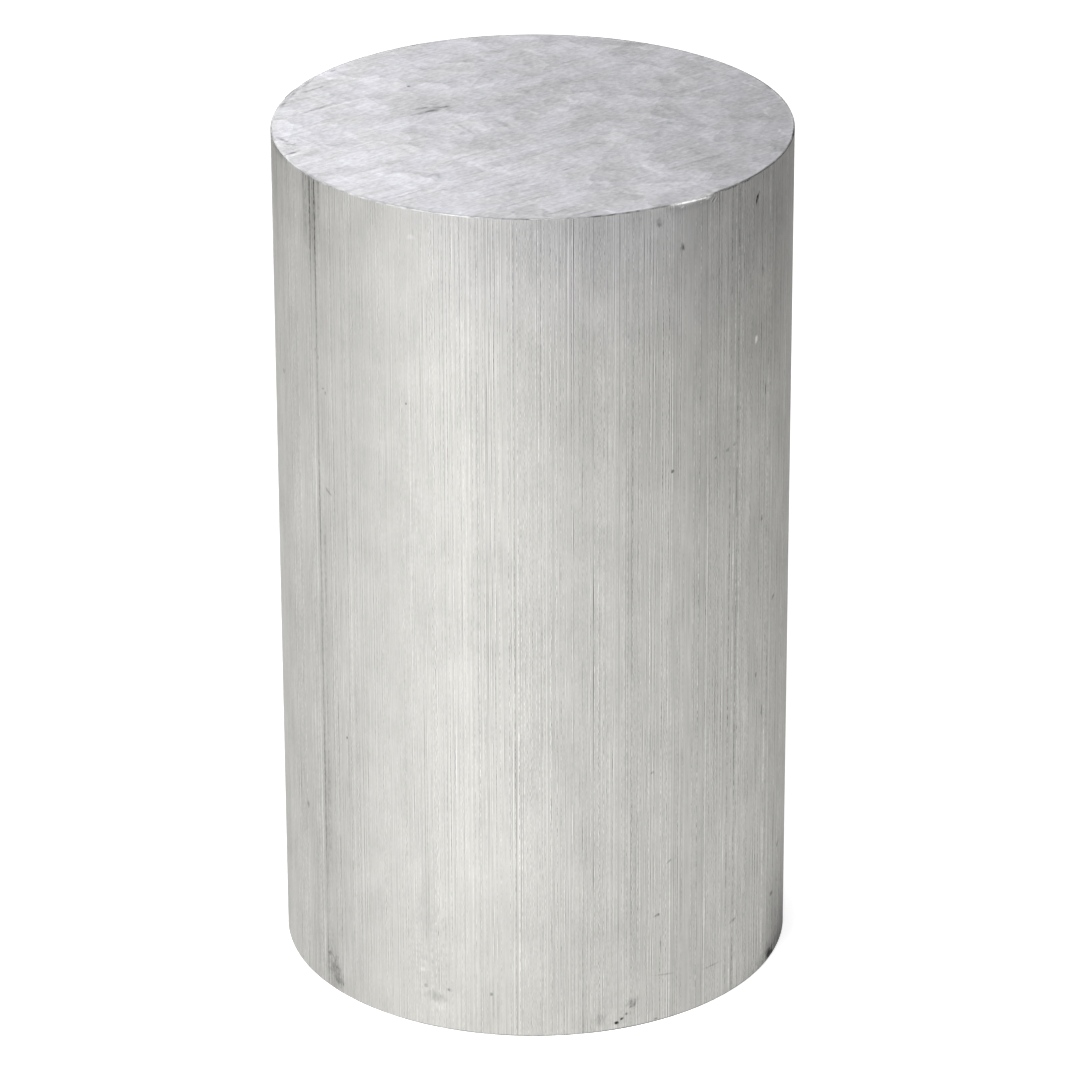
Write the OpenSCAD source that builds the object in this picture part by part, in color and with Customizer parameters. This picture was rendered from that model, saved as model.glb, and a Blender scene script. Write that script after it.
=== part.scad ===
// Short length of solid round aluminium bar, sawn square at both ends.
// It stands on one sawn end: the origin is the centre of that end, and +Z runs along the bar.

/* [Bar] */
// Outside diameter of the bar
rod_diameter = 88.9; // [10:0.1:200]
// Length of the bar from one sawn end to the other
rod_length = 152; // [20:1:1000]

/* [Sawn ends] */
// Width of the edge broken off around the lower end
lower_edge_break = 0.3; // [0.1:0.1:2]
// Width of the edge broken off around the upper end
upper_edge_break = 0.3; // [0.1:0.1:2]

/* [Hidden] */
rod_radius = rod_diameter / 2;

// Half section of the bar, from its axis out to its wall, with each sharp corner broken at 45 degrees
module rod_half_section() {
    polygon([
        [0, 0],
        [rod_radius - lower_edge_break, 0],
        [rod_radius, lower_edge_break],
        [rod_radius, rod_length - upper_edge_break],
        [rod_radius - upper_edge_break, rod_length],
        [0, rod_length],
    ]);
}

// The whole bar: one solid, turned from its half section
module rod() {
    color("silver")
        rotate_extrude($fn = 180)
            rod_half_section();
}

rod();
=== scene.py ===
# %% [markdown]
# Aluminium rod
#
# The object is a short, thick length of solid round aluminium bar. A press pushed the hot metal through a
# round die, which drew fine lines along its wall, and a saw cut it off at both ends, which smeared the soft
# metal into patches. Nothing was painted or polished afterwards. The imported part gives the true size and
# place, so this lesson starts by loading it as a fixed frame.

# %% Load the imported part
import math

import bmesh
import bpy
import numpy as np
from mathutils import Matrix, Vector


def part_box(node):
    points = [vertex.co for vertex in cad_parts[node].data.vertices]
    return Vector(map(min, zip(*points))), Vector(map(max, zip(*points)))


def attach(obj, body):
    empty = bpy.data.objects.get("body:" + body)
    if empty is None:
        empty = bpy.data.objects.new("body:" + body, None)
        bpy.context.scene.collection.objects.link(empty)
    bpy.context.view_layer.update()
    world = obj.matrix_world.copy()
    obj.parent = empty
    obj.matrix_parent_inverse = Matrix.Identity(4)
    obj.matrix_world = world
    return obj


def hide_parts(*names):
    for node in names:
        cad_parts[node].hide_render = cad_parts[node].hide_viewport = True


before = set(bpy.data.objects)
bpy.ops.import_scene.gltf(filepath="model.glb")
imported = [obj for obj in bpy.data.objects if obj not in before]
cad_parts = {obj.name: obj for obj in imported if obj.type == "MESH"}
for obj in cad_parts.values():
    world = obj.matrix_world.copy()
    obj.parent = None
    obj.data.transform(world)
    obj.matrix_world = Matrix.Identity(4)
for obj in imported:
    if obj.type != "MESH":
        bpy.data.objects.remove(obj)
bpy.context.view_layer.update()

# %% [markdown]
# The main sizes are read from the frame and not typed in again, so that the new rod always fits the packed
# one. The width of the broken edge is the step in radius between the wall and the flat of the upper end.

# %% Measure the bar
MM = 0.001
TINY = 0.001 * MM

rod_low, rod_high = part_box("rod")
rod_radius = min(rod_high.x, rod_high.y)
rod_length = rod_high.z - rod_low.z
cad_points = [vertex.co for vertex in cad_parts["rod"].data.vertices]
end_radius = max(point.xy.length for point in cad_points if point.z > rod_high.z - 10 * TINY)
edge_break = rod_radius - end_radius
print(f"radius {rod_radius / MM:.2f} mm, length {rod_length / MM:.1f} mm")
print(f"broken edge {edge_break / MM:.2f} mm wide")

# %% [markdown]
# The photograph was taken with a long lens from above the front of the bar. A long lens at a distance
# keeps the two sides of the wall almost parallel. The camera looks at a point on the bar's axis near half
# its height, and leans over by a fifth of a degree as the photograph does.

# %% Place the camera
camera_elevation = math.radians(24.43)
camera_distance = 1059 * MM
camera_roll = math.radians(-0.22)
aim_point = Vector((-0.2 * MM, 0, 75.6 * MM))
towards_camera = Vector((0, -math.cos(camera_elevation), math.sin(camera_elevation)))

bpy.ops.object.select_all(action="DESELECT")
bpy.ops.object.camera_add(location=aim_point + camera_distance * towards_camera)
camera = bpy.context.object
camera.rotation_mode = "ZXY"
camera.rotation_euler = (math.radians(90) - camera_elevation, 0, camera_roll)
camera.data.sensor_width = 36
camera.data.lens = 204.75
bpy.context.scene.camera = camera
bpy.context.scene.view_settings.view_transform = "Standard"
print("camera at", tuple(round(number, 3) for number in camera.location))

# %% [markdown]
# The bar starts as a plain cylinder at its true size. Its many columns give the die lines something to
# bend. A primitive sits around its own centre, so its place is applied at once, and the object stays at
# the origin with its place in its mesh.

# %% Start from a cylinder
WALL_COLUMNS = 720

bpy.ops.object.select_all(action="DESELECT")
bpy.ops.mesh.primitive_cylinder_add(
    vertices=WALL_COLUMNS,
    radius=rod_radius,
    depth=rod_length,
    location=(0, 0, rod_length / 2),
)
rod = bpy.context.object
rod.name = "sawn_rod"
rod.data.name = "sawn_rod"
bpy.ops.object.transform_apply(location=True, rotation=True, scale=True)
print("cylinder of", len(rod.data.vertices), "vertices")

# %% [markdown]
# A saw leaves a sharp corner, and handling breaks it a little. Bevelling the two rims gives each end its
# narrow broken edge. By hand one would click on the rims. In a script a small helper picks vertices, edges
# or faces by their place instead.

# %% Break the two rims
EDGE_SEGMENTS = 2


def pick(kind, wanted):
    """In edit mode, selects only the vertices, edges or faces that wanted() says yes to, and counts them."""
    bpy.ops.mesh.select_mode(type=kind)
    bpy.ops.mesh.select_all(action="DESELECT")
    shape = bmesh.from_edit_mesh(rod.data)
    items = {"VERT": shape.verts, "EDGE": shape.edges, "FACE": shape.faces}[kind]
    chosen = [item for item in items if wanted(item)]
    for item in chosen:
        item.select_set(True)
    shape.select_flush_mode()
    bmesh.update_edit_mesh(rod.data)
    return len(chosen)


def is_rim(edge):
    lowest, highest = sorted(vertex.co.z for vertex in edge.verts)
    return highest < TINY or lowest > rod_length - TINY


bpy.ops.object.mode_set(mode="EDIT")
rim_edges = pick("EDGE", is_rim)
bpy.ops.mesh.bevel(offset=edge_break, offset_type="OFFSET", segments=EDGE_SEGMENTS, affect="EDGES")
print("broke", rim_edges, "rim edges")

# %% [markdown]
# The wall needs rows as well as columns: few along the middle, where the die lines run straight for a long
# way, and more near the ends, where the knocks and pits are. A bisect cuts one row around the bar.

# %% Cut the rows of the wall
END_ROWS = [1.2, 2.2, 3.2, 4.4, 5.8, 7.4, 9.2, 11.5, 14.5]
MIDDLE_ROWS = 11

end_heights = [height * MM for height in END_ROWS]
middle_step = (rod_length - 2 * end_heights[-1]) / (MIDDLE_ROWS + 1)
row_heights = end_heights + [rod_length - height for height in end_heights]
row_heights += [end_heights[-1] + middle_step * (row + 1) for row in range(MIDDLE_ROWS)]
for height in row_heights:
    bpy.ops.mesh.select_all(action="SELECT")
    bpy.ops.mesh.bisect(plane_co=(0, 0, height), plane_no=(0, 0, 1))
print("cut", len(row_heights), "rows")

# %% [markdown]
# Each end is one big face so far, which nothing can shape. Two insets keep rings along the rim, and the
# face inside them is swapped for an even grid of small faces, fine enough for the saw's patches and steps.
# A fan of triangles would crowd at the centre and leave the rim coarse.

# %% Lay a grid over each sawn end
RING_WIDTHS = [0.5, 0.7]


def is_flat_end(face):
    return len(face.verts) > 4


def is_upper(face):
    return face.calc_center_median().z > rod_length / 2


def is_open_edge(edge):
    return edge.is_boundary


for ring_width in RING_WIDTHS:
    pick("FACE", is_flat_end)
    bpy.ops.mesh.inset(thickness=ring_width * MM, use_even_offset=True)
for upper in (False, True):
    pick("FACE", lambda face: is_flat_end(face) and is_upper(face) == upper)
    bpy.ops.mesh.delete(type="ONLY_FACE")
    pick("EDGE", is_open_edge)
    bpy.ops.mesh.fill_grid(span=WALL_COLUMNS // 4, use_interp_simple=False)
bpy.ops.mesh.select_all(action="SELECT")
bpy.ops.mesh.remove_doubles(threshold=TINY)
bpy.ops.mesh.normals_make_consistent(inside=False)
print("mesh of", len(bmesh.from_edit_mesh(rod.data).faces), "faces")

# %% [markdown]
# The wall and the ends are worked in different ways, so each gets a vertex group that the modifiers below
# can be held to. The wall's group stops short of the broken edges. The ends' group reaches to where the
# broken edge starts, so that the edge follows the saw's steps and leaves no ring around them.

# %% Name the wall and the ends
WALL_MARGIN = 1 * MM
WALL_SKIN = 0.1 * MM


def name_group(name, wanted):
    count = pick("VERT", wanted)
    bpy.ops.object.vertex_group_assign_new()
    rod.vertex_groups.active.name = name
    return count


def on_wall(vertex):
    clear_of_ends = WALL_MARGIN < vertex.co.z < rod_length - WALL_MARGIN
    return clear_of_ends and vertex.co.xy.length > rod_radius - WALL_SKIN


def on_end(vertex):
    near_end = vertex.co.z < TINY or vertex.co.z > rod_length - TINY
    return near_end and vertex.co.xy.length < end_radius + TINY


wall_points = name_group("wall", on_wall)
end_points = name_group("ends", on_end)
bpy.ops.object.mode_set(mode="OBJECT")
print(wall_points, "vertices on the wall,", end_points, "on the ends")

# %% [markdown]
# The die's lines, the saw's patches and its streaks are all shallow relief that repeats without order. A
# Displace modifier can press such a pattern into a surface. The pattern is a procedural texture, and an
# empty object gives it its size and turn: an empty stretched along the bar draws the pattern out into long
# lines. A middle level of 1 makes every change a sinking, so nothing leaves the CAD box. On the wall the
# grooves of the die run the whole length of the bar. The mesh holds the wider ones, and the finish adds
# the hairlines between them.

# %% Draw the die's grooves
GROOVE_DEPTH = 0.025 * MM
GROOVE_SIZE = (1.6 * MM, 1.6 * MM, 220 * MM)


def press(label, texture, depth, group, size, turn=0.0):
    """Sinks a vertex group by up to the depth, after a pattern of the given size and turn."""
    bpy.ops.object.empty_add(rotation=(0, 0, turn))
    guide = bpy.context.object
    guide.scale = size
    bpy.context.view_layer.update()
    bpy.context.view_layer.objects.active = rod
    relief = rod.modifiers.new(label, "DISPLACE")
    relief.texture = texture
    relief.texture_coords = "OBJECT"
    relief.texture_coords_object = guide
    relief.mid_level = 1
    relief.strength = depth
    relief.vertex_group = group
    bpy.ops.object.modifier_apply(modifier=label)
    bpy.data.objects.remove(guide)


groove_pattern = bpy.data.textures.new("die_grooves", "CLOUDS")
groove_pattern.noise_scale = 1
groove_pattern.noise_depth = 1
press("die_grooves", groove_pattern, GROOVE_DEPTH, "wall", GROOVE_SIZE)
print(f"grooves of up to {GROOVE_DEPTH / MM} mm drawn along the wall")

# %% [markdown]
# The saw blade tore and smeared the ends into overlapping patches, squared to the direction of the cut. A
# cell pattern with square-cornered cells, turned to that direction, steps them up and down by about a tenth
# of a millimetre, and a cloud pattern stretched along the cut adds its streaks. The depth of each point is
# kept as an attribute, because the finish of the ends follows it.

# %% Step and streak the sawn ends
SAW_TURN = math.radians(38)
DEEPEST_CUT = 0.25 * MM

patch_pattern = bpy.data.textures.new("saw_patches", "VORONOI")
patch_pattern.distance_metric = "CHEBYCHEV"
patch_pattern.color_mode = "POSITION"
patch_pattern.noise_scale = 1
streak_pattern = bpy.data.textures.new("saw_streaks", "CLOUDS")
streak_pattern.noise_scale = 1
streak_pattern.noise_depth = 2
press("wide_patches", patch_pattern, 0.12 * MM, "ends", (9 * MM, 7 * MM, 50 * MM), SAW_TURN)
press("small_patches", patch_pattern, 0.07 * MM, "ends", (4 * MM, 3 * MM, 50 * MM), SAW_TURN)
press("saw_streaks", streak_pattern, 0.03 * MM, "ends", (14 * MM, 1.3 * MM, 50 * MM), SAW_TURN)

heights = np.empty(len(rod.data.vertices) * 3)
rod.data.vertices.foreach_get("co", heights)
heights = heights[2::3]
sunk = np.minimum(heights, rod_length - heights)
sawn = sunk < DEEPEST_CUT
saw_depth = rod.data.attributes.new("saw_depth", "FLOAT", "POINT")
saw_depth.data.foreach_set("value", np.where(sawn, sunk / MM, 0))
print(f"the ends sank by up to {sunk[sawn].max() / MM:.3f} mm")

# %% [markdown]
# Handling left knocks on the upper rim and pits in the wall. In edit mode a few vertices are moved inwards
# with proportional editing, so that the surface around them follows and fades out. The largest is the
# bruise at the right of the rim, where a blow rolled the edge over into a narrow facet. A texture could
# darken such places, but only moved metal catches the light as they do.

# %% Knock the upper rim and pit the wall
# Each knock: its first and last angle in degrees from the front towards the right, then how far it goes
# inwards and downwards, and how far it fades out, in millimetres.
KNOCKS = [
    (29, 43, 0.05, 0.06, 0.9),
    (32, 41, 0.08, 0.06, 0.9),
    (-79, -67, 0.06, 0.1, 0.5),
    (-107, -103, 0.04, 0.08, 0.4),
    (-116, -113, 0.04, 0.08, 0.4),
]
# Each pit: its angle and height on the wall, its own reach, its depth and how far it fades out.
PITS = [
    (57.2, 147.4, 0.5, 0.15, 0.8),
    (19.5, 2.2, 0.6, 0.3, 0.8),
    (22, 3.2, 0.6, 0.25, 0.8),
]


def angle_of(place):
    return math.degrees(math.atan2(place.x, -place.y))


def outwards(angle):
    turn = math.radians(angle)
    return Vector((math.sin(turn), -math.cos(turn), 0))


def push(move, reach):
    """Moves the picked vertices, and the surface around them less and less."""
    bpy.ops.transform.translate(
        value=move,
        use_proportional_edit=True,
        proportional_edit_falloff="SMOOTH",
        proportional_size=reach * MM,
        use_proportional_connected=True,
    )


def knock(first, last, inwards, downwards, reach):
    count = pick("VERT", lambda vertex: (
        vertex.co.z > rod_length - 1.1 * edge_break
        and vertex.co.xy.length > end_radius - TINY
        and first < angle_of(vertex.co) < last
    ))
    push(outwards((first + last) / 2) * (-inwards * MM) + Vector((0, 0, -downwards * MM)), reach)
    return count


def pit(angle, height, span, depth, reach):
    place = outwards(angle) * rod_radius + Vector((0, 0, height * MM))
    count = pick("VERT", lambda vertex: (vertex.co - place).length < span * MM)
    push(outwards(angle) * (-depth * MM), reach)
    return count


bpy.ops.object.mode_set(mode="EDIT")
moved = [knock(*numbers) for numbers in KNOCKS]
moved += [pit(*numbers) for numbers in PITS]
bpy.ops.object.mode_set(mode="OBJECT")
print("vertices moved by each knock and pit:", moved)

# %% [markdown]
# The wall and the ends are smooth to the eye, but the rim between them is a crisp corner. Smoothing by
# angle keeps the corner and smooths the rest.

# %% Smooth the shading
CRISP_CORNER = math.radians(20)

bpy.ops.object.select_all(action="DESELECT")
rod.select_set(True)
bpy.context.view_layer.objects.active = rod
bpy.ops.object.shade_smooth_by_angle(angle=CRISP_CORNER)
print("smoothed", rod.name)

# %% [markdown]
# A finish can be painted into pictures, which needs a flat layout of the surface. The wall
# unrolls into one strip, with the two ends as discs below it, all at one scale, so that no detail is
# stretched. Blender could unwrap it by seams, but here the shape is known, and sums give a straight strip.

# %% Measure the corners of the faces
corners = np.empty(len(rod.data.loops), dtype=int)
rod.data.loops.foreach_get("vertex_index", corners)
points = np.empty(len(rod.data.vertices) * 3)
rod.data.vertices.foreach_get("co", points)
corner_x, corner_y, corner_z = points.reshape(-1, 3)[corners].T
face_sizes = np.empty(len(rod.data.polygons), dtype=int)
rod.data.polygons.foreach_get("loop_total", face_sizes)
face_normals = np.empty(len(rod.data.polygons) * 3)
rod.data.polygons.foreach_get("normal", face_normals)
face_up = face_normals[2::3]
corner_face = np.repeat(np.arange(len(face_sizes)), face_sizes)
first_corner = np.concatenate([[0], np.cumsum(face_sizes)[:-1]])


def face_mean(numbers):
    """The mean of a number over the corners of each face."""
    return np.add.reduceat(numbers, first_corner) / face_sizes


face_x = face_mean(corner_x)
face_y = face_mean(corner_y)
face_z = face_mean(corner_z)
print(len(corners), "corners in", len(face_sizes), "faces")

# %% [markdown]
# The strip is cut open along the back. A face there has corners on both sides of the cut, so each corner
# is moved round to the side on which the middle of its face lies.

# %% Lay the surface out flat
SHEET_MARGIN = 1.02
FLAT_NORMAL = 0.7

girth = 2 * math.pi * rod_radius
sheet_size = girth * SHEET_MARGIN
gap = (sheet_size - girth) / 2
corner_turn = np.arctan2(corner_x, -corner_y)
face_turn = np.arctan2(face_x, -face_y)[corner_face]
corner_turn = corner_turn + 2 * math.pi * np.round((face_turn - corner_turn) / (2 * math.pi))
strip_u = gap + girth / 2 + corner_turn * rod_radius
strip_v = sheet_size - gap - rod_length + corner_z
corner_up = face_up[corner_face]
disc_u = np.where(corner_up > 0, 1, 3) * (rod_radius + gap) + corner_x
disc_v = gap + rod_radius + corner_y * np.sign(corner_up)
on_disc = np.abs(corner_up) > FLAT_NORMAL
flat_places = np.stack([np.where(on_disc, disc_u, strip_u), np.where(on_disc, disc_v, strip_v)], 1)
layout = rod.data.uv_layers.new(name="OFBake")
layout.data.foreach_set("uv", flat_places.ravel() / sheet_size)
print(f"laid out on a square of {sheet_size / MM:.0f} mm")

# %% [markdown]
# A finish is a tree of shader nodes. Two small classes let the trees be written as sums: a Finish adds any
# node, and a Value is one number or vector inside it that can be added, multiplied and so on like a Python
# number. Placing each node by hand would show the tree but hide the sum.

# %% Write shader maths as Python sums
class Value:
    def __init__(self, finish, socket):
        self.finish = finish
        self.socket = socket

    def maths(self, operation, *terms):
        return self.finish.node("ShaderNodeMath", {"operation": operation}, dict(enumerate(terms)))

    def __add__(self, other):
        return self.maths("ADD", self, other)

    def __sub__(self, other):
        return self.maths("SUBTRACT", self, other)

    def __rsub__(self, other):
        return self.maths("SUBTRACT", other, self)

    def __mul__(self, other):
        return self.maths("MULTIPLY", self, other)

    def __truediv__(self, other):
        return self.maths("DIVIDE", self, other)

    def __rtruediv__(self, other):
        return self.maths("DIVIDE", other, self)

    __radd__ = __add__
    __rmul__ = __mul__

    def larger(self, other):
        return self.maths("MAXIMUM", self, other)

    def fade(self, start, end):
        """Goes smoothly from 0 where this is start to 1 where it is end."""
        return self.finish.node(
            "ShaderNodeMapRange",
            {"interpolation_type": "SMOOTHSTEP"},
            {"Value": self, "From Min": start, "From Max": end},
        )


class Finish:
    def __init__(self, name):
        self.material = bpy.data.materials.new(name)
        self.material.use_nodes = True
        self.tree = self.material.node_tree
        self.tree.nodes.clear()

    def node(self, kind, settings={}, sockets={}, output=0):
        """Adds a node, sets its settings, then fills or links its sockets, and gives one of its outputs."""
        node = self.tree.nodes.new(kind)
        for name, setting in settings.items():
            setattr(node, name, setting)
        for name, value in sockets.items():
            if isinstance(value, Value):
                self.tree.links.new(value.socket, node.inputs[name])
            else:
                node.inputs[name].default_value = value
        return Value(self, node.outputs[output])

    def show(self, shader):
        """Makes a shader the one that the material shows."""
        result = self.tree.nodes.new("ShaderNodeOutputMaterial")
        self.tree.links.new(shader.socket, result.inputs["Surface"])


# %% [markdown]
# The wall is bare extruded metal. Every mark on it runs along the bar or sits at some angle around it, so
# its finish is worked out on the wall laid flat: millimetres around it from the front towards the right,
# and millimetres up it.

# %% Unroll the wall
def place_in(finish):
    """Where a point lies on the object, in millimetres."""
    spot = finish.node("ShaderNodeTexCoord", output="Object")
    return finish.node("ShaderNodeVectorMath", {"operation": "SCALE"}, {0: spot, "Scale": 1 / MM})


def part(vector, axis):
    """One of the three numbers of a vector."""
    return vector.finish.node("ShaderNodeSeparateXYZ", {}, {0: vector}, axis)


def unroll(place):
    """The wall laid flat, with the way around it as X and its height as Y."""
    right = part(place, "X")
    arc = right.maths("ARCTAN2", right, 0 - part(place, "Y")) * (rod_radius / MM)
    return place.finish.node("ShaderNodeCombineXYZ", {}, {"X": arc, "Y": part(place, "Z")})


wall = Finish("extruded_wall")
wall_place = place_in(wall)
wall_flat = unroll(wall_place)
wall_arc = part(wall_flat, "X")
print("wall unrolled with", len(wall.tree.nodes), "nodes")

# %% [markdown]
# The die drew lines of every width, from hairlines to bands, and no line keeps its strength for long. Noise
# that changes only around the bar gives straight lines, and three slower noises make them swell and fade
# over about 45, 8 and 1 mm. A noise stretched along the bar would wander and blur the finest lines. Seen
# at a slant the two sides show coarser lines than the front, so they get a set of their own.

# %% Draw the lines of the die
def stretch(place, size, shift):
    """Counts a place in steps of the given sizes in millimetres, from a shifted start."""
    steps = [1 / length for length in size]
    settings = {"operation": "MULTIPLY_ADD"}
    return place.finish.node("ShaderNodeVectorMath", settings, {0: place, 1: steps, 2: shift})


def noise(place, size, detail=2, shift=0.0, rough=0.5):
    """Cloudy noise around 0, with features of the given sizes in millimetres along x, y and z."""
    spot = stretch(place, size, (shift, shift, shift))
    sockets = {"Vector": spot, "Scale": 1, "Detail": detail, "Roughness": rough}
    return place.finish.node("ShaderNodeTexNoise", {}, sockets) - 0.5


def lines(along, width, detail=0, shift=0.0, rough=0.5):
    """Noise around 0 that changes along one direction only: straight lines of a width in millimetres."""
    sockets = {"W": along + shift, "Scale": 1 / width, "Detail": detail, "Roughness": rough}
    return along.finish.node("ShaderNodeTexNoise", {"noise_dimensions": "1D"}, sockets) - 0.5


long_fade = noise(wall_place, (2.5, 2.5, 45), 1, 61)
short_fade = noise(wall_place, (1.2, 1.2, 8), 0, 71)
dash = noise(wall_place, (0.5, 0.5, 0.8), 1, 41)
hairlines = lines(wall_arc, 0.21, 0, 500) * (long_fade * 3.8 + 0.5)
hairlines = hairlines + lines(wall_arc, 0.24, 0, 900) * short_fade * 3.4
hairlines = hairlines + lines(wall_arc, 0.23, 0, 1300) * dash * 4.2
die_lines = lines(wall_arc, 9, 5, 700, 1.0)
line_fade = long_fade * 2.5 + short_fade * 2 + dash * 2.5 + 0.7

wall_right = part(wall_place, "X") / (rod_radius / MM)
wall_back = part(wall_place, "Y") / (rod_radius / MM)
side = wall_right.fade(0.5, 0.95) + wall_right.fade(-0.6, -0.98) * 0.6
side = side * wall_back.fade(0.8, -0.2)
side_fade = short_fade * 3 + dash * 3.5 + 0.6
side_lines = lines(wall_arc, 0.9, 2, 1700, 1.0) * side * side_fade
print("lines drawn,", len(wall.tree.nodes), "nodes so far")

# %% [markdown]
# The thin oxide skin clouds the metal, which a soft noise gives. Broad paler and darker fields are painted
# light and shade on the wall. The wall also has a front where the lines stand out, and three rough columns.
# These have soft outlines, so they are ovals that fade from their middles, which are easy to move to where
# the photograph shows them.

# %% Cloud and shade the wall
def oval(place, middle, size, lean=0, ragged=0, soft=1):
    """1 inside an oval mark and 0 outside it: its middle and half sizes in mm, and its lean in degrees."""
    if lean == 0:
        start = (-middle[0] / size[0], -middle[1] / size[1], 0)
        inside = stretch(place, (*size, math.inf), start)
    else:
        turn = (0, 0, math.radians(lean))
        sockets = {"Vector": place, "Location": (*middle, 0), "Rotation": turn, "Scale": (*size, 1)}
        inside = place.finish.node("ShaderNodeMapping", {"vector_type": "TEXTURE"}, sockets)
    reach = place.finish.node("ShaderNodeVectorMath", {"operation": "LENGTH"}, {0: inside}, "Value")
    return (reach + ragged).fade(1, 1 - soft)


def ovals(place, marks, ragged=0, soft=1):
    """The sum of many oval marks, each with its own strength."""
    total = 0
    for across, along, half_width, half_height, lean, amount in marks:
        mark = oval(place, (across, along), (half_width, half_height), lean, ragged, soft)
        total = mark * amount + total
    return total


# Place around and up the wall, half width and half height (mm), lean in degrees, and how much.
ROUGH_COLUMNS = [
    (47, 100, 3.5, 70, 0, 1),
    (-21, 95, 4, 75, 0, 0.6),
    (-18.5, 14, 7, 26, 0, 1.1),
]
# The same numbers for the painted light and shade, with the last one above 0 for paler and below 0 for
# darker.
PAINTED_LIGHT_AND_SHADE = [
    (-9, 22, 38, 62, 0, 0.15),
    (-48, 116, 22, 54, 0, 0.12),
    (47, 110, 26, 54, 0, 0.15),
    (66, 16, 24, 95, 0, -0.14),
    (61, 1, 15, 25, 0, -0.4),
    (-62, 150, 10, 24, 0, -0.12),
    (-43, 18, 15, 46, 0, -0.09),
    (-68, 20, 14, 50, 0, -0.2),
    (2, 160, 40, 30, 0, -0.16),
    (4, 130, 13, 30, 0, -0.06),
]
cloud = noise(wall_place, (7, 7, 12), 5, 31, 0.7)
ragged = noise(wall_place, (0.6, 0.6, 1.2), 2, 53) * 1.2
front = oval(wall_flat, (11, 76), (42, 300))
strength = noise(wall_place, (14, 14, 70), 1, 23) + front * 0.5 + 0.7
roughened = (ragged * 0.2 + dash * 0.35) * ovals(wall_flat, ROUGH_COLUMNS)
painted_light_and_shade = ovals(wall_flat, PAINTED_LIGHT_AND_SHADE)
print("clouded and shaded,", len(wall.tree.nodes), "nodes so far")

# %% [markdown]
# Dark and light streaks run along the bar, most likely where something stuck to the die. They are narrow
# upright ovals, broken up by fine lines of their own so that each looks like a bundle of scratches.

# %% Streak the wall
# Angle from the front in degrees, height, half width and half height (mm), lean in degrees, and how much.
DARK_STREAKS = [
    (-56.4, 158, 3.2, 34, 0, 0.27),
    (-59.4, 154, 0.9, 20, 0, 0.15),
    (-56.7, 150, 0.32, 34, 0, 0.25),
    (-55.0, 150, 0.5, 42, 0, 0.23),
    (-55.0, 76, 0.6, 110, 0, 0.14),
    (-55.0, 92, 0.6, 12, 0, 0.10),
    (-55.0, 38, 0.7, 20, 0, 0.14),
    (-55.0, 6, 0.7, 9, 0, 0.10),
    (-53.1, 152, 0.4, 14, 0, 0.22),
    (-53.1, 80, 0.4, 20, 0, 0.15),
    (-53.4, 36, 0.9, 20, 0, 0.16),
    (-53.1, 4, 3.0, 10, 0, 0.15),
    (-24.6, 24, 1.8, 12, 0, 0.08),
    (50.6, 84, 0.45, 120, 0, 0.10),
    (27.7, 76, 0.35, 120, 0, 0.10),
    (18.0, 76, 0.35, 120, 0, 0.06),
    (12.8, 90, 0.5, 90, 0, 0.09),
]
LIGHT_STREAKS = [
    (-67.7, 76, 0.5, 120, 0, 0.06),
    (-44.5, 70, 0.5, 120, 0, 0.07),
    (-21.8, 76, 0.4, 120, 0, 0.06),
    (-15.2, 76, 0.5, 120, 0, 0.08),
    (-17.0, 76, 3.2, 160, 0, 0.04),
    (2.7, 76, 0.3, 120, 0, 0.06),
    (34.2, 76, 0.4, 120, 0, 0.05),
    (51.9, 76, 0.4, 120, 0, 0.05),
]
WALL_SOFTNESS = 0.8


def at_angles(marks):
    """Marks given by angle, with the angle turned into millimetres around the wall."""
    return [(math.radians(angle) * rod_radius / MM, *numbers) for angle, *numbers in marks]


bundle = (lines(wall_arc, 0.32, 1, 2100) * 2.5 + 1) * (dash * 2 + 1)
dark = ovals(wall_flat, at_angles(DARK_STREAKS), 0, WALL_SOFTNESS) * bundle
light = ovals(wall_flat, at_angles(LIGHT_STREAKS), 0, WALL_SOFTNESS) * bundle
print(len(DARK_STREAKS), "dark and", len(LIGHT_STREAKS), "light streaks")
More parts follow.
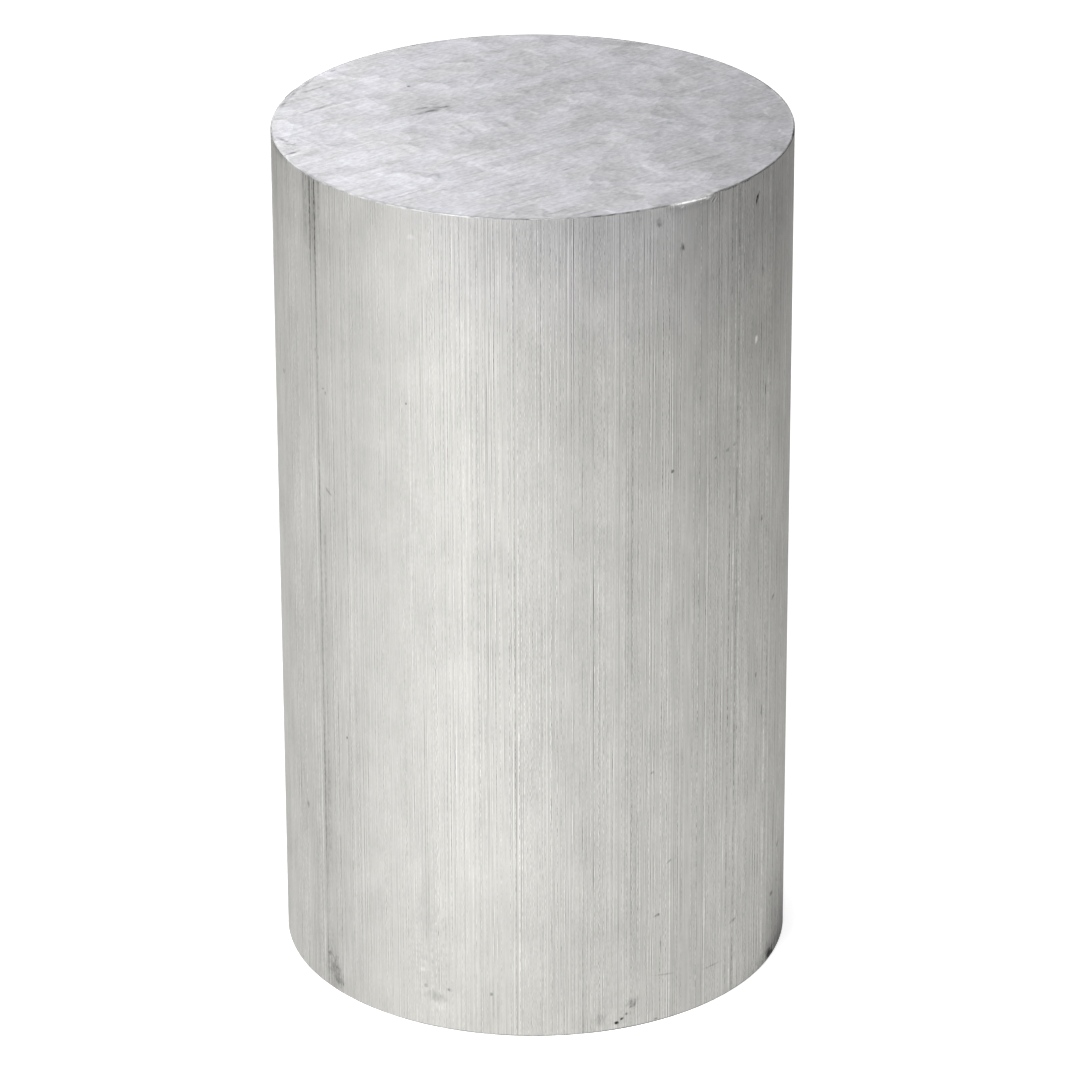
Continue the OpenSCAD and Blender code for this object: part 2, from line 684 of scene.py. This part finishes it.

# %% [markdown]
# Specks, scratches, dirt and dents are small ovals with ragged outlines, each at the place where the
# photograph shows it. The light ones by the upper rim are a painted highlight with painted glints along the
# bruise, where the metal shines.

# %% Mark the wall
DARK_MARKS = [
    (-52.0, 4, 2.4, 3.4, 0, 0.22),
    (-50.5, 2.2, 1.6, 1.6, 0, 0.3),
    (-54.0, 6.5, 1.6, 0.8, -25, 0.22),
    (33.6, 144, 0.7, 1.0, 0, 0.4),
    (27.8, 149, 0.8, 1.2, 0, 0.35),
    (31.5, 104, 0.35, 0.5, 0, 0.9),
    (57.3, 147.4, 0.42, 1.5, -22, 1.0),
    (60, 134, 0.4, 1.4, 0, 0.4),
    (62, 112, 0.35, 2.0, 0, 0.4),
    (61, 88, 0.5, 1.0, 0, 0.5),
    (59, 59, 0.5, 0.8, 0, 0.4),
    (62, 51, 0.4, 1.4, 0, 0.4),
    (67.8, 71, 1.2, 0.4, 20, 0.5),
    (69.4, 12.6, 1.0, 0.8, 0, 0.6),
    (73.8, 20.8, 0.6, 0.8, 0, 0.6),
    (50.7, 13.9, 1.4, 0.4, 15, 0.35),
    (49.6, 105, 0.8, 0.4, 15, 0.3),
    (47.4, 104.5, 1.1, 0.45, 10, 0.25),
    (43.4, 104, 0.6, 0.35, 10, 0.3),
    (28.2, 20.9, 0.9, 0.35, 20, 0.45),
    (29.1, 15, 0.25, 2.6, 0, 0.3),
    (26.6, 48.6, 0.7, 0.35, 25, 0.4),
    (31.1, 30.7, 0.9, 0.25, 35, 0.3),
    (44, 7.2, 3.4, 0.25, 0, 0.2),
    (30, 8.9, 2.8, 0.25, -8, 0.2),
    (18.3, 1.4, 0.6, 0.45, 0, 0.9),
    (19.6, 1.9, 0.5, 0.4, 30, 0.7),
    (20.8, 2.8, 0.4, 0.35, 0, 0.6),
    (21.7, 4.0, 0.4, 0.4, 0, 0.45),
    (22, 4.8, 1.6, 1.4, 30, 0.3),
    (27.9, 0.6, 0.6, 0.35, 0, 0.6),
    (14.6, 2.5, 1.4, 1.8, 0, 0.22),
    (-25.4, 7.8, 0.5, 0.5, 0, 0.3),
    (-19.7, 7.8, 0.6, 0.5, 0, 0.3),
    (-10, 8, 0.45, 0.45, 0, 0.32),
    (-23, 6, 3.0, 1.4, 0, 0.18),
    (-28.5, 117, 0.3, 0.35, 0, 0.6),
    (-46.6, 51, 0.3, 0.5, 0, 0.5),
    (-51.6, 96, 1.2, 0.4, -30, 0.3),
    (-52.8, 114.6, 0.5, 0.25, 35, 0.3),
    (-52.0, 113.9, 0.3, 0.5, 0, 0.3),
    (-54.5, 120, 0.3, 0.6, 0, 0.35),
    (-55.6, 121, 0.3, 0.5, 0, 0.3),
    (-73, 112, 0.6, 0.7, 0, 0.35),
    (-63, 33, 0.6, 1.0, 0, 0.4),
    (68.6, 1, 2.4, 1.6, 0, 0.8),
    # Darker along the base at the right.
    (72, 0, 13, 5, 0, 0.3),
    (42.0, 150.7, 0.8, 0.14, 50, 0.4),
    (43.0, 150.5, 0.8, 0.14, 50, 0.4),
    (47.5, 151.65, 2.6, 0.15, 0, 0.5),
    (53.0, 151.6, 2.0, 0.17, 0, 0.6),
]
PALE_MARKS_AND_BRUISE_HIGHLIGHTS = [
    (57.4, 122, 0.5, 1.2, 0, 0.9),
    (-25.4, 12.4, 0.5, 0.6, 0, 0.12),
    (-26.1, 10.9, 0.7, 0.6, 0, 0.16),
    (-24.8, 11.0, 0.4, 0.4, 0, 0.10),
    (-26.6, 12.6, 0.4, 0.5, 0, 0.12),
    (-25.7, 11.4, 1.6, 2.2, 0, 0.07),
    (-22, 4.5, 2.6, 1.4, 0, 0.10),
    (-27, 147, 1.0, 0.6, 0, 0.15),
    # A painted highlight and painted glints along the bruise on the upper rim.
    (36.2, 151.55, 5.6, 0.2, -2, 1.0),
    (33.5, 151.0, 0.5, 0.2, 20, 0.5),
    (38.5, 150.9, 0.6, 0.2, 20, 0.5),
    (40.4, 151.2, 0.6, 0.25, 10, 0.7),
    (41.6, 150.8, 0.8, 0.14, 50, 0.4),
    (42.5, 150.6, 0.8, 0.14, 50, 0.4),
    (43.4, 150.5, 0.7, 0.14, 50, 0.4),
]
dark = dark + ovals(wall_flat, at_angles(DARK_MARKS), ragged, WALL_SOFTNESS) * (dash * 2.5 + 1)
light = light + ovals(wall_flat, at_angles(PALE_MARKS_AND_BRUISE_HIGHLIGHTS), ragged, WALL_SOFTNESS)
print(len(DARK_MARKS), "dark and", len(PALE_MARKS_AND_BRUISE_HIGHLIGHTS), "light marks")

# %% [markdown]
# All of these add up to one tone that makes the metal lighter or darker. The metal itself is a slightly warm
# grey, a little cooler near the top of the front. The clouds also change the roughness, and the widest
# lines a shallow bump. Lines along the bar spread a highlight sideways, which is what Anisotropic does.

# %% Finish the wall
def tinted(share, first, second, tone):
    """A colour between two tints, made lighter or darker by a tone."""
    finish = tone.finish
    sockets = {0: share, 6: (*first, 1), 7: (*second, 1)}
    tint = finish.node("ShaderNodeMix", {"data_type": "RGBA"}, sockets, 2)
    return finish.node("ShaderNodeVectorMath", {"operation": "SCALE"}, {0: tint, "Scale": tone})


all_lines = (hairlines * 0.7 + die_lines * line_fade * 0.5) * strength
all_lines = all_lines + (side_lines * 1.5 + hairlines * side * 0.5)
# The tone carries the painted light and shade of the broad fields and the painted highlight of the bruise.
wall_tone = 0.995 + all_lines + cloud * 0.44 + roughened + light + painted_light_and_shade
wall_tone = wall_tone * (1 - dark).larger(0.06)
cool = oval(wall_flat, (12, 152), (56, 36))
wall_colour = tinted(cool, (0.475, 0.470, 0.451), (0.475, 0.470, 0.472), wall_tone)
wall_bump = wall.node("ShaderNodeBump", {}, {"Strength": 1, "Distance": 0.02 * MM, "Height": die_lines * 4})
wall_shader = wall.node(
    "ShaderNodeBsdfPrincipled",
    {},
    {
        "Base Color": wall_colour,
        "Metallic": 1.0,
        "Roughness": 0.46 + cloud * 0.12,
        "Anisotropic": 0.6,
        "Specular Tint": (0.7, 0.7, 0.7, 1),
        "Normal": wall_bump,
    },
)
wall.show(wall_shader)
print("wall finish of", len(wall.tree.nodes), "nodes")

# %% [markdown]
# The ends are torn and smeared by the saw. Cells with square corners, bent a little out of line, give the
# torn flakes, each with a random tone and painted shading that runs from lighter to darker across it, as on
# a tilted flake. Noises drawn out along the cut give streaks, smears and specks. Some zones are flaky and
# others streaky, as the blade pulled more or less metal along with it.

# %% Tear the ends
def cells(place, size, shift):
    """Square-cornered cells of the given size in mm: a random tone for each, and a ramp along x in it."""
    finish = place.finish
    spot = stretch(place, size, (shift, shift, 0))
    settings = {"voronoi_dimensions": "2D", "distance": "CHEBYCHEV"}
    sockets = {"Vector": spot, "Scale": 1}
    colour = finish.node("ShaderNodeTexVoronoi", settings, sockets, "Color")
    middle = finish.node("ShaderNodeTexVoronoi", settings, sockets, "Position")
    offset = finish.node("ShaderNodeVectorMath", {"operation": "SUBTRACT"}, {0: spot, 1: middle})
    tone = finish.node("ShaderNodeSeparateColor", {}, {0: colour}, "Red") - 0.5
    return tone, part(offset, "X")


end = Finish("sawn_end")
end_place = place_in(end)
along_cut = end.node(
    "ShaderNodeVectorRotate",
    {"rotation_type": "Z_AXIS"},
    {"Vector": end_place, "Angle": -SAW_TURN},
)
bend = end.node("ShaderNodeTexNoise", {}, {"Vector": along_cut, "Scale": 0.2, "Detail": 2}, "Color")
bent = end.node("ShaderNodeVectorMath", {"operation": "MULTIPLY_ADD"}, {0: bend, 1: (4, 3, 0), 2: along_cut})
wide_tone, wide_painted_shading = cells(bent, (12, 8, 1), 3.3)
small_tone, small_painted_shading = cells(bent, (5, 3, 1), 8.1)
# Painted shading: the ramps make each flake lighter towards one side and darker towards the other.
flakes_and_painted_shading = wide_tone * 0.05 + wide_painted_shading * 0.10 + small_tone * 0.06 + small_painted_shading * 0.07
streaks = noise(along_cut, (24, 0.8, 40), 3, 3)
zones = noise(along_cut, (16, 12, 40), 1, 29)
smears = noise(bent, (9, 6, 40), 4, 11, 0.6)
specks = noise(along_cut, (1.0, 0.6, 40), 2, 19)
saw_lines = noise(along_cut, (46, 1.3, 40), 1, 37).fade(0.12, 0.2) * zones.fade(-0.05, 0.1)
flaky = zones.fade(0.14, -0.14) * 1.2 + 0.3
streaky = 0.06 + zones.fade(-0.04, 0.16) * 0.42 + part(end_place, "X").fade(5, -35) * 0.25
print("ends torn,", len(end.tree.nodes), "nodes so far")

# %% [markdown]
# The upper end also has stains, torn edges and scratches at their own places, most of them on its left
# half. They are ragged ovals like the marks on the wall, many of them drawn out along the cut or across it.
# Light lines beside some dark streaks are painted glints, and four broad soft ovals are painted light and
# shade, lighter on the left and darker in the middle and at the front right.

# %% Stain the ends
# Place to the right and to the back, half sizes (mm), lean in degrees, and how dark, below 0 for lighter;
# the lighter ones are painted glints, most of them beside dark streaks.
STAINS_AND_GLINTS = [
    (-17.3, 6.6, 4.4, 3.4, 30, 0.12),
    (-19.4, 4.6, 2.6, 0.6, 30, 0.30),
    (-17.1, 6.3, 2.8, 0.8, 30, 0.45),
    (-15.6, 7.9, 1.9, 0.8, 30, 0.38),
    (-18.9, 7.6, 2.2, 0.5, 30, 0.32),
    (-16.4, 4.9, 2.2, 0.5, 30, -0.18),
    (-21.3, 18.3, 0.4, 0.4, 0, 0.6),
    (-13.5, 20, 2.6, 2.0, 0, 0.08),
    (-18.5, 12, 4.0, 5.0, 0, 0.06),
    (-18.3, -24.7, 4.8, 1.7, 26, 0.13),
    (-11.6, -2.2, 4.8, 0.5, -58, 0.18),
    (-12.3, -2.6, 4.8, 0.4, -58, -0.10),
    (-4.9, -0.4, 4.8, 0.9, -54, 0.17),
    (-3.6, 1.6, 4.0, 1.2, -54, -0.07),
    (0.2, 5.2, 3.8, 0.5, -40, -0.16),
    (9.4, 15.4, 4.8, 0.5, 22, 0.14),
    (7.6, 13.4, 2.0, 1.0, 20, -0.10),
    (2.3, 25, 9.4, 0.5, 42, 0.13),
    (10.5, -9.7, 3.2, 0.6, -8, 0.14),
    (5.6, -21.8, 2.2, 0.4, 43, 0.28),
    (-2.4, -28.2, 5.0, 0.4, 40, 0.14),
    (-7.2, -34, 5.8, 0.4, 28, 0.14),
    (-42.3, -7.3, 2.4, 0.6, -55, 0.45),
    (-41.0, -9.6, 1.8, 0.5, -20, 0.35),
    (-40.2, -13.6, 2.6, 0.5, 39, 0.6),
    (-39.8, -14.6, 2.6, 0.5, 39, -0.4),
    (-36.8, 7.3, 9.4, 0.5, 41, 0.24),
    (-36.4, 6.5, 9.4, 0.5, 41, -0.10),
    (-42.5, 9.8, 2.8, 0.5, 77, 0.32),
    (-41.0, 14.9, 2.8, 0.5, 70, 0.38),
    (-38.9, 19.7, 2.8, 0.5, 63, 0.28),
    (-38.1, 16.6, 3.8, 0.5, 42, 0.35),
    (-34.6, 26.1, 1.0, 0.4, 50, 0.5),
    (-1.2, 29.5, 3, 3, 38, 0.06),
    (-1.2, 21, 3, 2.4, 38, 0.08),
    (21, 8, 4, 3, 38, 0.06),
]
# Broad painted light and shade: lighter on the left, darker in the middle and at the front right.
PAINTED_END_LIGHT_AND_SHADE = [
    (4, 9, 42, 30, 0, 0.07),
    (-26, -14, 30, 28, 0, -0.06),
    (-34, 20, 17, 17, 0, -0.09),
    (34, -14, 26, 26, 0, 0.08),
]
STAIN_AND_GLINT_SOFTNESS = 0.9

end_flat = end.node("ShaderNodeVectorMath", {"operation": "MULTIPLY"}, {0: end_place, 1: (1, 1, 0)})
end_ragged = noise(along_cut, (1.4, 0.8, 40), 2, 47) * 1.3
# Stains, painted glints and broad painted light and shade, taken off the tone together.
stains_and_painted_light = ovals(end_flat, STAINS_AND_GLINTS, end_ragged, STAIN_AND_GLINT_SOFTNESS) + ovals(end_flat, PAINTED_END_LIGHT_AND_SHADE)
print(len(STAINS_AND_GLINTS) + len(PAINTED_END_LIGHT_AND_SHADE), "stains on each end")

# %% [markdown]
# The tone of the ends follows the depth of the patches in the mesh, so that what lies deeper is darker, and
# adds the flakes with their painted shading, the streaks, the stains, the painted glints and the broad
# painted light and shade. The freshly torn metal is a slightly cool grey.

# %% Finish the ends
sunk_by = end.node("ShaderNodeAttribute", {"attribute_name": "saw_depth"}, {}, "Fac")
end_tone = 1.01 + (0.1 - sunk_by) * 1.2 + flakes_and_painted_shading * flaky + streaks * streaky
end_tone = end_tone + smears * 0.38 + specks * 0.56 - saw_lines * 0.12 - stains_and_painted_light
end_colour = tinted(smears.fade(-0.12, 0.12), (0.448, 0.448, 0.460), (0.446, 0.446, 0.474), end_tone)
end_relief = streaks + specks * 0.6 - saw_lines
end_bump = end.node("ShaderNodeBump", {}, {"Strength": 1, "Distance": 0.03 * MM, "Height": end_relief})
end_shader = end.node(
    "ShaderNodeBsdfPrincipled",
    {},
    {
        "Base Color": end_colour,
        "Metallic": 1.0,
        "Roughness": 0.5 + smears * 0.1,
        "Normal": end_bump,
    },
)
end.show(end_shader)
print("end finish of", len(end.tree.nodes), "nodes")

# %% [markdown]
# The broken edge is rough, rubbed metal. It is darker than the wall. Painted light makes it brighter
# towards the left, the side the key lamp lights, and a painted highlight makes it bright along the bruise,
# where the blow polished it.

# %% Finish the broken edges
edge = Finish("broken_edge")
edge_place = place_in(edge)
edge_wear = noise(edge_place, (1.2, 1.2, 1.2), 2) + noise(edge_place, (9, 9, 9), 1, 5)
# Painted light: brighter towards the left, where the key lamp lights the edge.
painted_left_light = part(edge_place, "X").fade(-0.2 * rod_radius / MM, -0.8 * rod_radius / MM)
# Painted highlight along the bruise.
bruise = oval(unroll(edge_place), (28, rod_length / MM), (5, 2), 0, edge_wear, 0.4)
edge_tone = 1 + painted_left_light * 0.8 + edge_wear * 2 + bruise * 1.6
edge_colour = edge.node(
    "ShaderNodeVectorMath",
    {"operation": "SCALE"},
    {0: (0.26, 0.26, 0.26), "Scale": edge_tone},
)
edge_shader = edge.node(
    "ShaderNodeBsdfPrincipled",
    {},
    {"Base Color": edge_colour, "Metallic": 1.0, "Roughness": 0.62 + edge_wear * 0.1},
)
edge.show(edge_shader)
print("edge finish of", len(edge.tree.nodes), "nodes")

# %% [markdown]
# One object can carry several materials, each on its own faces. Faces that look up or down belong to the
# ends, the narrow ring around each end to the broken edge, and all others to the wall.

# %% Give each surface its finish
RIM_OVERLAP = 0.02 * MM

for finish in (wall, end, edge):
    rod.data.materials.append(finish.material)
near_end = np.minimum(face_z, rod_length - face_z) < edge_break
near_rim = np.hypot(face_x, face_y) > end_radius - RIM_OVERLAP
finish_numbers = np.zeros(len(face_sizes), dtype=np.int32)
finish_numbers[np.abs(face_up) > FLAT_NORMAL] = 1
finish_numbers[near_end & near_rim] = 2
rod.data.polygons.foreach_set("material_index", finish_numbers)
print("faces of wall, ends and edges:", [int((finish_numbers == number).sum()) for number in range(3)])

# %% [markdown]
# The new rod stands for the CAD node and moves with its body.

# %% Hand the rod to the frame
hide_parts("rod")
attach(rod, "root")
print("the rod stands for the CAD node")

# %% [markdown]
# The photograph shows the rod cut out on white. A pale floor carries its shadow, and shows a white of its
# own to the camera and in reflections, without throwing more light onto the rod. The camera sees less of it
# near the rod, which leaves room for the shadow. In reflections it fades out in front of the rod and to its
# right, which is the darker side of the room that the wall mirrors.

# %% Lay the floor
# All in metres. A pair says where a change in the floor's white starts and where it ends.
FLOOR_SIZE = 12
DARK_FRONT = (-0.36, -0.24)
DARK_RIGHT = (0.40, 0.16)
NEAR_FLOOR = (0.15, 0.6)

bpy.ops.object.select_all(action="DESELECT")
bpy.ops.mesh.primitive_plane_add(size=FLOOR_SIZE)
floor = bpy.context.object
floor.name = "floor"
ground = Finish("pale_floor")
ground_place = ground.node("ShaderNodeTexCoord", output="Object")
seen = ground.node("ShaderNodeLightPath", output="Is Camera Ray")
mirrored = ground.node("ShaderNodeLightPath", output="Is Glossy Ray")
mirrored = mirrored + ground.node("ShaderNodeLightPath", output="Is Transmission Ray")
pool = part(ground_place, "Y").fade(*DARK_FRONT) * part(ground_place, "X").fade(*DARK_RIGHT)
ground_out = ground.node("ShaderNodeVectorMath", {"operation": "LENGTH"}, {0: ground_place}, "Value")
far = ground_out.fade(*NEAR_FLOOR) * 0.34
white = (seen * (far + 0.66)).larger(mirrored * pool * 0.3)
ground_diffuse = ground.node("ShaderNodeBsdfDiffuse", {}, {"Color": (0.9, 0.9, 0.9, 1)})
ground_white = ground.node("ShaderNodeEmission", {}, {"Color": (1, 1, 1, 1), "Strength": white})
ground.show(ground.node("ShaderNodeAddShader", {}, {0: ground_diffuse, 1: ground_white}))
floor.data.materials.append(ground.material)
print("floor laid")

# %% [markdown]
# Five soft round lamps light the rod: a key from the front left, a weaker one nearer the middle and a fill
# from the front right for the wall, one from behind for the upper end, and one overhead for whoever looks
# straight down on it.

# %% Hang the lamps
# Both in metres.
LAMP_DISTANCE = 0.5
LAMP_SIZE = 0.36

lamp_aim = Vector((0, 0, rod_length / 2))


def hang_lamp(name, azimuth, elevation, watts):
    """A soft disc lamp: degrees from the front towards the right, and degrees above the floor."""
    turn = math.radians(azimuth)
    rise = math.radians(elevation)
    direction = Vector((math.sin(turn) * math.cos(rise), -math.cos(turn) * math.cos(rise), math.sin(rise)))
    bpy.ops.object.light_add(type="AREA", location=lamp_aim + LAMP_DISTANCE * direction)
    lamp = bpy.context.object
    lamp.name = name
    lamp.rotation_euler = direction.to_track_quat("Z", "Y").to_euler()
    lamp.data.shape = "DISK"
    lamp.data.size = LAMP_SIZE
    lamp.data.energy = watts
    lamp.visible_camera = False


hang_lamp("key", -36, 23, 2.25)
hang_lamp("front", -16, 25, 1.14)
hang_lamp("fill", 40, 25, 0.68)
hang_lamp("back", -155, 48, 0.9)
hang_lamp("overhead", 180, 80, 0.4)
print("five lamps hung")

# %% [markdown]
# Metal shows what stands round it. In a black room the upper end would turn dark as soon as the camera moved
# away from the lamp behind, so the room's pale walls are there for reflections only, and light nothing.

# %% Paint the room
ROOM_GREY = 0.45

room = bpy.data.worlds.new("pale_room")
room.use_nodes = True
room_rays = room.node_tree.nodes.new("ShaderNodeLightPath")
room_walls = room.node_tree.nodes["Background"]
room_walls.inputs["Color"].default_value = (ROOM_GREY, ROOM_GREY, ROOM_GREY, 1)
room.node_tree.links.new(room_rays.outputs["Is Glossy Ray"], room_walls.inputs["Strength"])
bpy.context.scene.world = room
print("room painted")
